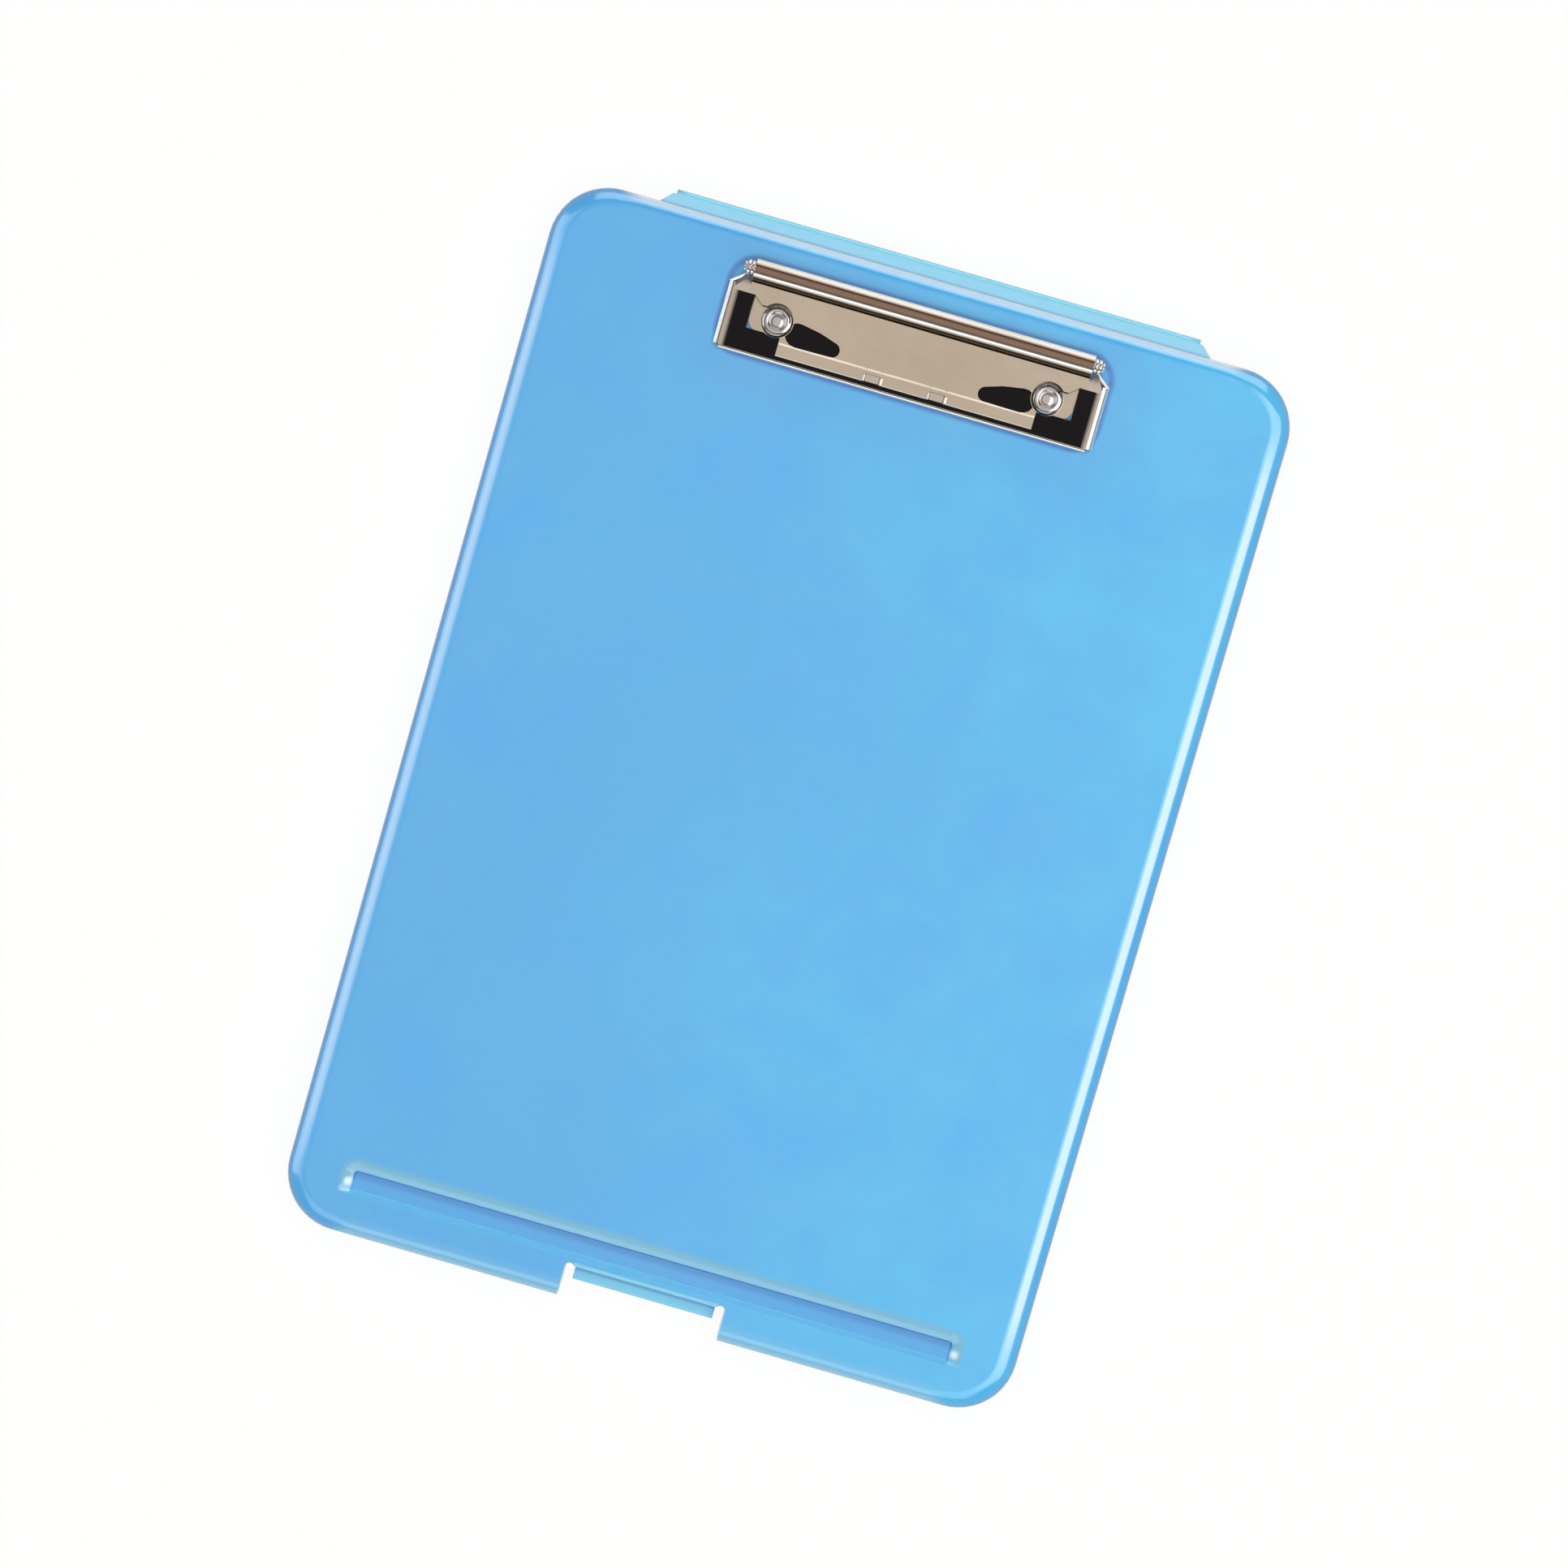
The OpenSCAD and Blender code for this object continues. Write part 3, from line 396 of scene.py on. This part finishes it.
# plated steel: brushed along the clip, faint handling marks, and brighter softened edges, partly wear and partly
# painted highlight
nickelSet = {
    "colour": rgb(237, 230, 220), "colourToo": rgb(226, 218, 207), "tarnish": (34.0, 4.0, 0.6),
    "tarnishSpan": (0.35, 0.65),
    "wearAndSheen": rgb(246, 243, 238), "wear": (420.0, 3.0), "wearSpan": (0.3, 0.6), "wornLow": 0.4,
    "brush": (900.0, 4.0, 0.6, (0.04, 1, 1)), "brushSpan": (0.3, 0.7), "brushStrength": 0.2, "brushDepth": 0.006 * mm,
    "roughLow": 0.1, "roughHigh": 0.18, "marks": (70.0, 5.0, 0.7), "marksSpan": (0.5, 0.75), "marksRough": 0.07,
    "paintedLightAndShadeBands": [],            # painted reflection and shade, as darker lines along the roll: place, half width, tone
    "bandEdge": (1.3, 0.5),     # where such a line starts and where it is full, in half widths
    "paintedDarkReflection": None,           # painted dark reflection, near-black on the jaw's upward flats
    "tabRidges": None,      # small bright ridges at the ends of the windows that the jaw's tabs stand in
}
plainBrush = (900.0, 4.0, 0.6)      # the same all ways, for turned and drawn steel
steelSet = dict(nickelSet, colour=rgb(236, 236, 240), colourToo=rgb(224, 224, 230), wearAndSheen=rgb(246, 246, 248),
                brush=plainBrush, roughLow=0.08, roughHigh=0.14)
coverSet = dict(
    nickelSet,
    paintedLightAndShadeBands=[(155.6 * mm, 1.3 * mm, rgb(168, 142, 128)), (151.7 * mm, 0.55 * mm, rgb(108, 94, 84))],   # painted dark reflection on the roll's top, painted shade in the crease
    tabRidges={"ends": (7.7 * mm, 13.1 * mm), "reach": 0.6 * mm, "height": 0.22 * mm,
               "middle": 132.1 * mm, "half": 1.5 * mm, "blur": 0.4 * mm})
# the jaw: a painted dark reflection on its upward flats, fading out towards its sides
jawSet = dict(nickelSet, colour=rgb(240, 236, 232), colourToo=rgb(230, 226, 222), wearAndSheen=rgb(246, 243, 240),
              paintedDarkReflection={"tone": rgb(40, 40, 46), "sideFrom": 57.6 * mm, "sideTo": 58.8 * mm, "sideLeft": 0.15})
springSteelSet = dict(nickelSet, colour=rgb(150, 150, 156), colourToo=rgb(120, 120, 128), wearAndSheen=rgb(170, 170, 176),
                      brush=plainBrush, roughLow=0.2, roughHigh=0.3)


def ridgeHeight(tree, where, s):
    offEnds = [offFrom(tree, offFrom(tree, where[0]), end) for end in s["ends"]]
    height = ramp(tree, calc(tree, "MINIMUM", *offEnds), s["reach"], 0.0, 0.0, s["height"], smooth=True)
    offLine = offFrom(tree, where[1], s["middle"])
    return both(tree, height, ramp(tree, offLine, s["half"], s["half"] - s["blur"], smooth=True))


def makeMetal(name, s):
    material, tree, shader = newMaterial(name)
    where = whereOn(tree)
    tarnish = patches(tree, s["tarnish"], s["tarnishSpan"])
    colour = mixColours(tree, tarnish, s["colour"], s["colourToo"])
    # painted bands along the roll: a dark reflection on its top and shade in its crease
    for middle, half, tone in s["paintedLightAndShadeBands"]:
        starts, full = (half * share for share in s["bandEdge"])
        band = ramp(tree, offFrom(tree, where[1], middle), starts, full, smooth=True)
        colour = mixColours(tree, band, colour, tone)
    # painted dark reflection on upward flat faces, fading out towards the sides
    if s["paintedDarkReflection"]:
        towardsSides = ramp(tree, offFrom(tree, where[0]), s["paintedDarkReflection"]["sideFrom"], s["paintedDarkReflection"]["sideTo"], 1.0,
                            s["paintedDarkReflection"]["sideLeft"])
        colour = mixColours(tree, both(tree, faceMark(tree, "flatFace"), towardsSides), colour, s["paintedDarkReflection"]["tone"])
    # brighter softened edges: partly wear, partly painted highlight
    wearAndSheen = both(tree, faceMark(tree, "softEdge"), patches(tree, s["wear"], s["wearSpan"], s["wornLow"], 1.0))
    colour = mixColours(tree, wearAndSheen, colour, s["wearAndSheen"])
    join(tree, colour, shader.inputs["Base Color"])
    brushed = cloud(tree, *s["brush"])
    rough = calc(tree, "ADD", ramp(tree, brushed, *s["brushSpan"], s["roughLow"], s["roughHigh"]),
                 calc(tree, "MULTIPLY", patches(tree, s["marks"], s["marksSpan"]), s["marksRough"]))
    join(tree, rough, shader.inputs["Roughness"])
    layers = [(brushed, s["brushStrength"], s["brushDepth"])]
    if s["tabRidges"]:
        layers.insert(0, (ridgeHeight(tree, where, s["tabRidges"]), 1.0, 1.0))
    addBump(tree, shader, layers)
    shader.inputs["Metallic"].default_value = 1.0
    return material


lidPlastic = makePlastic("lidPlastic", lidPlasticSet, [(paintGrooveShadeAndHighlights, grooveSet), (tintClipShade, clipShadeSet)])
trayPlastic = makePlastic("trayPlastic", trayPlasticSet)
tonguePlastic = makePlastic("tonguePlastic", tonguePlasticSet, [(paintRootShade, rootShadeSet)])
webPlastic = makePlastic("webPlastic", webPlasticSet)
nickelPlate = makeMetal("nickelPlate", nickelSet)
coverNickel = makeMetal("coverNickel", coverSet)
brightSteel = makeMetal("brightSteel", steelSet)
jawNickel = makeMetal("jawNickel", jawSet)
springSteel = makeMetal("springSteel", springSteelSet)
print("finishes made")


def finishPiece(piece, body, replaced, finish):
    piece.data.materials.clear()
    piece.data.materials.append(finish)
    if body:
        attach(piece, body)
    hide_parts(replaced)


def linkPiece(name, mesh):
    mesh.name = name
    piece = bpy.data.objects.new(name, mesh)
    scene.collection.objects.link(piece)
    return piece


def settledMesh(piece):
    bpy.context.view_layer.update()
    return bpy.data.meshes.new_from_object(piece.evaluated_get(bpy.context.evaluated_depsgraph_get()))


# mouldings and pressings: the node's shape with its edges softened as the real one has them
softPieces = {
    "tray": {"name": "trayShell", "soft": 0.35 * mm, "finish": trayPlastic, "slot": "tray_plastic"},
    "lid": {"name": "lidShell", "soft": 0.35 * mm, "finish": lidPlastic, "slot": "lid_plastic"},
    "latch_tongue": {"name": "latchTongue", "soft": 0.25 * mm, "finish": tonguePlastic, "slot": "lid_plastic"},
    "clip_base_plate": {"name": "clipBase", "soft": 0.12 * mm, "finish": nickelPlate, "slot": "nickel_plate"},
    "clip_cover_plate": {"name": "clipCover", "soft": 0.16 * mm, "finish": coverNickel, "slot": "nickel_plate"},
    "clip_jaw": {"name": "clipJaw", "soft": 0.16 * mm, "finish": jawNickel, "slot": "dark_nickel"},
    "clip_hinge_pin": {"name": "clipPin", "soft": 0.15 * mm, "finish": brightSteel, "slot": "bright_steel"},
    "clip_rivets": {"name": "clipRivets", "soft": 0.08 * mm, "finish": brightSteel, "slot": "bright_steel"},
    "clip_rivet_washers": {"name": "clipWashers", "soft": 0.1 * mm, "finish": brightSteel, "slot": "bright_steel"},
}


# how edges are found and softened, angles in degrees
softeningSet = {
    "mergeWithin": 0.002 * mm, "flatWithin": 0.5, "edgeFrom": 30, "segments": 2,
    "level": 0.995,             # upright share of a normal from which a face counts as flat
    "flatTo": 23.2 * mm,        # just over the jaw plate's top: the painted dark reflection reaches up to here, bends and tabs stay bright
}


def setMark(mesh, markName, values):
    mark = mesh.attributes.new(markName, "FLOAT", "FACE")
    mark.data.foreach_set("value", values)


def softenNode(nodeName, s, how):
    mesh = nodes[nodeName].data.copy()
    mesh.materials.clear()
    mesh.materials.append(s["finish"])
    mesh.materials.append(s["finish"])
    if "custom_normal" in mesh.attributes:
        mesh.attributes.remove(mesh.attributes["custom_normal"])
    shape = bmesh.new()
    shape.from_mesh(mesh)
    bmesh.ops.remove_doubles(shape, verts=shape.verts, dist=how["mergeWithin"])
    bmesh.ops.dissolve_limit(shape, angle_limit=math.radians(how["flatWithin"]), verts=shape.verts,
                             edges=shape.edges)
    for face in shape.faces:
        face.smooth = True
        face.material_index = 0
    shape.to_mesh(mesh)
    shape.free()
    rough = linkPiece(s["name"] + "Rough", mesh)
    bevel = rough.modifiers.new("softEdges", "BEVEL")
    bevel.width = s["soft"]
    bevel.segments = how["segments"]
    bevel.limit_method = "ANGLE"
    bevel.angle_limit = math.radians(how["edgeFrom"])
    bevel.material = 1                  # marks the softened edges until the lines below have read them
    even = rough.modifiers.new("evenShading", "WEIGHTED_NORMAL")    # keeps the broad flats flat
    even.mode = "FACE_AREA"
    even.weight = 100
    finished = settledMesh(rough)
    bpy.data.objects.remove(rough)
    setMark(finished, "softEdge", [float(face.material_index == 1) for face in finished.polygons])
    setMark(finished, "flatFace", [float(face.material_index == 0 and abs(face.normal.z) > how["level"]
                                         and face.center.z < how["flatTo"]) for face in finished.polygons])
    for face in finished.polygons:
        face.material_index = 0
    piece = linkPiece(s["name"], finished)
    finishPiece(piece, nodeBody(nodeName), nodeName, s["finish"])
    return piece


for nodeName, settings in softPieces.items():
    made = softenNode(nodeName, settings, softeningSet)
    print("softened", made.name, len(made.data.polygons), "faces")


# thin web of the living hinge: a strip folded round between the tray and the lid
webSet = {"thickness": 0.5 * mm, "steps": 24, "bays": 40}


def makeHingeWeb(s):
    low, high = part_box("hinge_web")
    outer = (high.z - low.z) / 2
    middleY, middleZ = low.y, (low.z + high.z) / 2
    shape = bmesh.new()
    rings = []
    for bay in range(s["bays"] + 1):
        x = low.x + (high.x - low.x) * bay / s["bays"]
        ring = []
        for radius in (outer, outer - s["thickness"]):
            for step in range(s["steps"] + 1):
                angle = math.radians(-90 + 180 * step / s["steps"])
                angle = angle if radius == outer else -angle
                ring.append(shape.verts.new((x, middleY + radius * math.cos(angle),
                                             middleZ + radius * math.sin(angle))))
        rings.append(ring)
    count = len(rings[0])
    for here, there in zip(rings, rings[1:]):
        for k in range(count):
            shape.faces.new((here[k], here[(k + 1) % count], there[(k + 1) % count], there[k]))
    shape.faces.new(rings[0][::-1])
    shape.faces.new(rings[-1])
    bmesh.ops.recalc_face_normals(shape, faces=shape.faces)
    for face in shape.faces:
        face.smooth = len(face.verts) == 4
    mesh = bpy.data.meshes.new("hingeWeb")
    shape.to_mesh(mesh)
    shape.free()
    setMark(mesh, "softEdge", [0.0] * len(mesh.polygons))
    web = linkPiece("hingeWeb", mesh)
    finishPiece(web, None, "hinge_web", webPlastic)
    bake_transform(web)
    print("hinge web", len(mesh.polygons), "faces")


makeHingeWeb(webSet)


# torsion springs: round wire swept along a coil and its two legs
springSet = {
    "wire": 0.4 * mm, "coil": 1.75 * mm, "pitch": 1.3 * mm, "turns": 6, "stepsPerTurn": 24,
    "pin": (155.3 * mm, 24.4 * mm), "legTip": (144.6 * mm, 21.22 * mm),   # (y, z) of the pin and of the leg's end
    "x": 30 * mm, "coilTo": -83.8, "endBend": 0.6 * mm, "rollEdge": 3.3 * mm,     # coilTo is an angle in degrees
    "wireSides": 12, "legSteps": 6, "bendSteps": 6,
}


def springPath(s):
    pinY, pinZ = s["pin"]
    runY, runZ = s["legTip"][0] - pinY, s["legTip"][1] - pinZ
    startAngle = math.atan2(runZ, runY) + math.acos(s["coil"] / math.hypot(runY, runZ))
    endAngle = math.radians(s["coilTo"])
    sweep = 2 * math.pi * s["turns"] + endAngle - startAngle
    steps = s["turns"] * s["stepsPerTurn"]
    length = s["pitch"] * sweep / (2 * math.pi)

    def around(x, radius, angle, middle=(pinY, pinZ)):
        return (x, middle[0] + radius * math.cos(angle), middle[1] + radius * math.sin(angle))

    startPoint = around(0, s["coil"], startAngle)
    legTip = (0, s["legTip"][0], s["legTip"][1])
    points = [tuple(a + (b - a) * k / s["legSteps"] for a, b in zip(legTip, startPoint)) for k in range(s["legSteps"])]
    points += [around(length * k / steps, s["coil"], startAngle + sweep * k / steps) for k in range(steps + 1)]
    bendMiddle = around(length, s["coil"] + s["endBend"], endAngle)[1:]
    points += [around(length, s["endBend"], endAngle + math.pi - math.pi / 2 * k / s["bendSteps"], bendMiddle)
               for k in range(1, s["bendSteps"] + 1)]
    lastMiddle = around(length, s["rollEdge"], endAngle)[1:]
    points.append(around(length, s["endBend"], endAngle + math.pi / 2, lastMiddle))
    return points


def wireTree(finish):
    tree = bpy.data.node_groups.new("springWire", "GeometryNodeTree")
    tree.interface.new_socket("Path", in_out="INPUT", socket_type="NodeSocketGeometry")
    radius = tree.interface.new_socket("Wire radius", in_out="INPUT", socket_type="NodeSocketFloat")
    sides = tree.interface.new_socket("Wire sides", in_out="INPUT", socket_type="NodeSocketInt")
    tree.interface.new_socket("Spring", in_out="OUTPUT", socket_type="NodeSocketGeometry")
    given = tree.nodes.new("NodeGroupInput").outputs
    curve = addNode(tree, "GeometryNodeMeshToCurve", {"Mesh": given["Path"]})
    wire = addNode(tree, "GeometryNodeCurvePrimitiveCircle", {"Radius": given["Wire radius"],
                                                              "Resolution": given["Wire sides"]})
    swept = addNode(tree, "GeometryNodeCurveToMesh", {"Curve": curve.outputs[0], "Profile Curve": wire.outputs[0],
                                                      "Fill Caps": True})
    smooth = addNode(tree, "GeometryNodeSetShadeSmooth", {"Geometry": swept.outputs[0]})
    plain = addNode(tree, "GeometryNodeRealizeInstances", {"Geometry": smooth.outputs[0]})
    dressed = addNode(tree, "GeometryNodeSetMaterial", {"Geometry": plain.outputs[0], "Material": finish})
    addNode(tree, "NodeGroupOutput", {"Spring": dressed.outputs[0]})
    return tree, radius.identifier, sides.identifier


def makeSprings(s):
    tree, radiusInput, sidesInput = wireTree(springSteel)
    for side, name, nodeName in ((1, "springRight", "clip_spring_right"), (-1, "springLeft", "clip_spring_left")):
        points = [(side * (s["x"] + x), y, z) for x, y, z in springPath(s)]
        path = bpy.data.meshes.new(name + "Path")
        path.from_pydata(points, [(k, k + 1) for k in range(len(points) - 1)], [])
        guide = linkPiece(name + "Path", path)
        wind = guide.modifiers.new("wind", "NODES")
        wind.node_group = tree
        wind[radiusInput] = s["wire"]
        wind[sidesInput] = s["wireSides"]
        mesh = settledMesh(guide)
        bpy.data.objects.remove(guide)
        shape = bmesh.new()
        shape.from_mesh(mesh)
        bmesh.ops.recalc_face_normals(shape, faces=shape.faces)
        shape.to_mesh(mesh)
        shape.free()
        setMark(mesh, "softEdge", [0.0] * len(mesh.polygons))
        spring = linkPiece(name, mesh)
        finishPiece(spring, None, nodeName, springSteel)
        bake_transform(spring)
        print("wound", name, len(mesh.polygons), "faces")


makeSprings(springSet)


# floor, soft boxes and sky
studioSet = {
    "floorSize": 60,
    "floorColour": (0.95, 0.95, 0.95, 1),
    "floorRoughness": 0.9,
    "floorGlow": 0.92,          # share of the floor seen as plain white, the rest keeps the shadow
    "skyEdge": (0.95, 0.95, 0.95, 1),
    # tones above the sky's edge, each with the heights that it comes in between (1 is overhead)
    "skyTones": [((0.4, 0.4, 0.405, 1), 0.03, 0.1), ((0.17, 0.145, 0.13, 1), 0.1, 0.5),
                 ((0.62, 0.54, 0.45, 1), 0.86, 0.97)],
    "boxDistance": 1.4,         # of each soft box from the edge that it is aimed at
}
# each soft box: the side it stands on, the edge of the object that it is aimed at, the angles from straight up
# between which it is seen from there, its length and how bright its face is (1 is white).
# fill lights all surfaces, the others show only in the gloss of the plastic or of the metal
softBoxes = {
    "overheadFill": {"side": (1, 0), "edge": 0.05, "angles": (-26, 32), "long": 1.6, "bright": 2.9, "use": "fill"},
    "rightGleam": {"side": (1, 0), "edge": 0.12, "angles": (16, 62), "long": 1.7, "bright": 3.4, "use": "plastic"},
    "rightInner": {"side": (1, 0), "edge": 0.12, "angles": (9, 16), "long": 1.7, "bright": 1.6, "use": "plastic"},
    "leftGleam": {"side": (-1, 0), "edge": 0.12, "angles": (50, 86), "long": 1.5, "bright": 2.8, "use": "plastic"},
    "leftInner": {"side": (-1, 0), "edge": 0.12, "angles": (25, 50), "long": 1.5, "bright": 1.5, "use": "plastic"},
    "rearGleam": {"side": (0, 1), "edge": 0.168, "angles": (52, 88), "long": 1.7, "bright": 2.8, "use": "plastic"},
    "frontGleam": {"side": (0, -1), "edge": 0.173, "angles": (25, 60), "long": 1.5, "bright": 1.6, "use": "plastic"},
    "rightShine": {"side": (1, 0), "edge": 0.06, "angles": (12, 60), "long": 1.2, "bright": 1.5, "use": "metal"},
    "leftShine": {"side": (-1, 0), "edge": 0.06, "angles": (48, 80), "long": 1.2, "bright": 0.9, "use": "metal"},
    "rearShine": {"side": (0, 1), "edge": 0.16, "angles": (45, 88), "long": 1.7, "bright": 0.85, "use": "metal"},
    "frontShine": {"side": (0, -1), "edge": -0.13, "angles": (55, 80), "long": 1.2, "bright": 1.3, "use": "metal"},
}


def makeFloor(s):
    bpy.ops.mesh.primitive_plane_add(size=s["floorSize"], location=(0, 0, 0))
    floor = bpy.context.object
    floor.name = "paleFloor"
    material, tree, shader = newMaterial("paleFloor")
    shader.inputs["Base Color"].default_value = s["floorColour"]
    shader.inputs["Roughness"].default_value = s["floorRoughness"]
    shader.inputs["Specular IOR Level"].default_value = 0.0
    white = addNode(tree, "ShaderNodeEmission", {"Color": (1, 1, 1, 1), "Strength": 1.0})
    rays = addNode(tree, "ShaderNodeLightPath").outputs
    seen = calc(tree, "MAXIMUM", calc(tree, "MAXIMUM", rays["Is Camera Ray"], rays["Is Glossy Ray"]),
                rays["Is Transmission Ray"])
    glow = calc(tree, "MULTIPLY", seen, s["floorGlow"])
    blend = addNode(tree, "ShaderNodeMixShader", {0: glow, 1: shader.outputs[0], 2: white.outputs[0]})
    join(tree, blend.outputs[0], tree.nodes["Material Output"].inputs["Surface"])
    floor.data.materials.append(material)


def addSoftBox(name, s, distance):
    low, high = (math.radians(angle) for angle in s["angles"])
    middle = (low + high) / 2
    side = Vector((*s["side"], 0))
    back = side * math.sin(middle) + Vector((0, 0, math.cos(middle)))
    across = Vector((0, 0, 1)).cross(side)
    data = bpy.data.lights.new(name, "AREA")
    data.shape = "RECTANGLE"
    data.size, data.size_y = s["long"], 2 * distance * math.tan((high - low) / 2)
    data.energy = s["bright"] * math.pi * data.size * data.size_y
    lamp = bpy.data.objects.new(name, data)
    turn = Matrix((across, back.cross(across), back)).transposed().to_4x4()
    turn.translation = side * s["edge"] + back * distance
    lamp.matrix_world = turn
    lamp.visible_camera = False
    lamp.visible_glossy = s["use"] != "fill"
    lamp.visible_diffuse = s["use"] == "fill"
    if s["use"] in finishGroups:
        lamp.light_linking.receiver_collection = finishGroups[s["use"]]
    scene.collection.objects.link(lamp)


def makeSky(s):
    world = bpy.data.worlds.new("studioWorld")
    world.use_nodes = True
    tree = world.node_tree
    place = addNode(tree, "ShaderNodeTexCoord")
    height = addNode(tree, "ShaderNodeSeparateXYZ", {0: place.outputs["Generated"]}).outputs["Z"]
    sky = s["skyEdge"]
    for tone, heightFrom, heightTo in s["skyTones"]:
        sky = mixColours(tree, ramp(tree, height, heightFrom, heightTo, smooth=True), sky, tone)
    join(tree, sky, tree.nodes["Background"].inputs["Color"])
    scene.world = world


# pieces by finish, so that a soft box can light the plastic or the metal only
finishGroups = {use: bpy.data.collections.new(use + "Pieces") for use in ("plastic", "metal")}
for piece in scene.objects:
    if piece.type == "MESH" and piece.name not in nodes and piece.material_slots:
        isPlastic = piece.material_slots[0].material.name.endswith("Plastic")
        finishGroups["plastic" if isPlastic else "metal"].objects.link(piece)

makeFloor(studioSet)
for boxName, settings in softBoxes.items():
    addSoftBox(boxName, settings, studioSet["boxDistance"])
makeSky(studioSet)
scene.view_settings.view_transform = "Standard"
print("floor, soft boxes and sky in place")

placeCamera(cameraSet)
